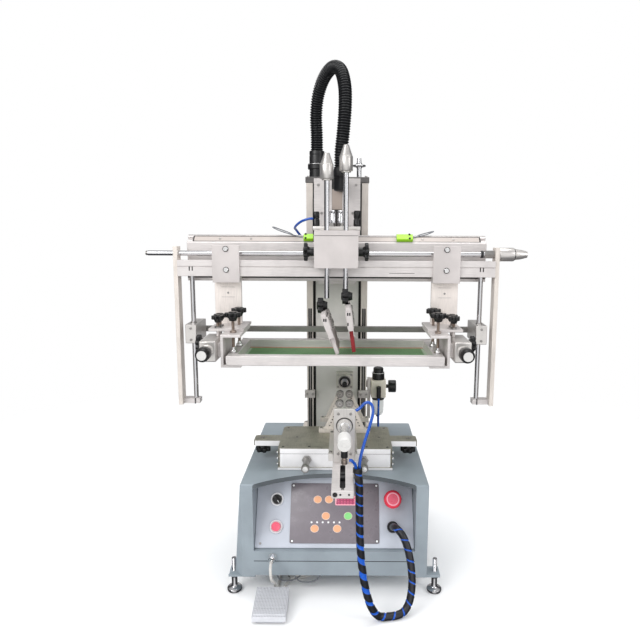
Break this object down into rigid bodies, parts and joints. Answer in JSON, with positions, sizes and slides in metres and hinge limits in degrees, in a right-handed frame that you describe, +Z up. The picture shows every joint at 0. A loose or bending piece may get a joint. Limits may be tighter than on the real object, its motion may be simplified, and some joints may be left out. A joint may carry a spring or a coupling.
{
  "type": "bottle screen printing machine",
  "caption": "Table-top screen printing machine for round bottles: lifting head, sliding screen carriage, squeegee and flood bar, roller stands, driven spindle, tailstock and foot pedal.",
  "frame": {"origin": "bottom centre of the machine's bounding box, on the surface that the feet stand on", "axes": "+Z up, -Y towards the operator, +X to the operator's right, along the screen carriage's travel"},
  "size_m": [0.91, 0.582, 1.2031],
  "materials": {
    "cabinet_paint": "satin powder coat",
    "panel_paint": "satin",
    "membrane": "matt polyester overlay",
    "white_metal": "clear anodised",
    "aluminium": "brushed",
    "khaki_plate": "ground and anodised",
    "chrome": "polished",
    "beige_metal": "satin",
    "black_plastic": "satin",
    "red_plastic": "gloss",
    "pink_plastic": "gloss",
    "green_plastic": "satin",
    "blue_tube": "polyurethane tube",
    "squeegee_rubber": "matt",
    "screen_green": "stretched mesh with a green stencil",
    "grey_plastic": "satin"
  },
  "bodies": {
    "base": {"cabinet": "cabinet_paint", "control_panel": "panel_paint", "membrane_panel": "membrane", "selector_switch": "black_plastic", "push_button": "pink_plastic", "emergency_stop": "red_plastic", "bundle_grommet": "black_plastic", "pedal_socket": "chrome", "foot_front_left": "chrome", "foot_front_right": "chrome", "foot_back_left": "chrome", "foot_back_right": "chrome", "work_table": "khaki_plate", "slide_guide": "white_metal", "slide_arm": "white_metal", "roller_stand_front": "beige_metal", "roller_stand_rear": "beige_metal", "spindle_housing": "aluminium", "tailstock_plate": "aluminium", "tailstock_cylinder": "aluminium", "column": "aluminium", "column_top_plate": "khaki_plate", "lift_handwheel": "chrome", "air_regulator": "beige_metal", "cable_hose": "grey_plastic", "air_bundle": "blue_tube", "air_loop": "blue_tube", "cylinder_tube": "blue_tube", "regulator_tube": "blue_tube", "pedal_base": "grey_plastic", "pedal_cord": "grey_plastic", "pedal_lead": "grey_plastic", "pedal_coil": "grey_plastic"},
    "spindle": {"spindle": "chrome"},
    "cup": {"tailstock_cup": "black_plastic"},
    "treadle": {"pedal_treadle": "grey_plastic"},
    "head": {"head_plate": "aluminium", "beam": "aluminium", "squeegee_block": "panel_paint", "stroke_cylinders": "chrome", "hose_elbow": "black_plastic", "limit_sensor_left": "green_plastic", "limit_sensor_right": "green_plastic", "head_tube": "blue_tube"},
    "squeegee": {"squeegee_rod": "chrome", "squeegee_blade": "squeegee_rubber"},
    "flood": {"flood_rod": "chrome", "flood_blade": "white_metal"},
    "carriage": {"carriage_bar": "aluminium", "drive_rod": "chrome", "cross_bar": "beige_metal", "screen_frame": "white_metal", "screen_mesh": "screen_green", "end_frame_left": "beige_metal", "end_frame_right": "beige_metal", "hanger_left": "aluminium", "hanger_right": "aluminium", "frame_clamp_left": "white_metal", "frame_clamp_right": "white_metal"}
  },
  "joints": [
    {"name": "head_lift", "type": "slide", "parent": "base", "child": "head", "axis": [0, 0, 1], "range_m": [-0.045, 0.03], "deforming": ["cable_hose"]},
    {"name": "frame_travel", "type": "slide", "parent": "head", "child": "carriage", "axis": [1, 0, 0], "range_m": [-0.1, 0.1]},
    {"name": "squeegee_stroke", "type": "slide", "parent": "head", "child": "squeegee", "axis": [0, 0, 1], "range_m": [-0.018, 0.018]},
    {"name": "flood_stroke", "type": "slide", "parent": "head", "child": "flood", "axis": [0, 0, 1], "range_m": [-0.013, 0.018]},
    {"name": "cup_stroke", "type": "slide", "parent": "base", "child": "cup", "axis": [0, 1, 0], "range_m": [0, 0.05]},
    {"name": "spindle_turn", "type": "hinge", "parent": "base", "child": "spindle", "pos_m": [0.021, 0.193, 0.41], "axis": [0, 1, 0], "continuous": true},
    {"name": "treadle_press", "type": "hinge", "parent": "base", "child": "treadle", "pos_m": [-0.133, -0.149, 0.018], "axis": [1, 0, 0], "range_deg": [0, 3], "stiffness_Nm_per_rad": 6, "springref_deg": -5.73}
  ]
}
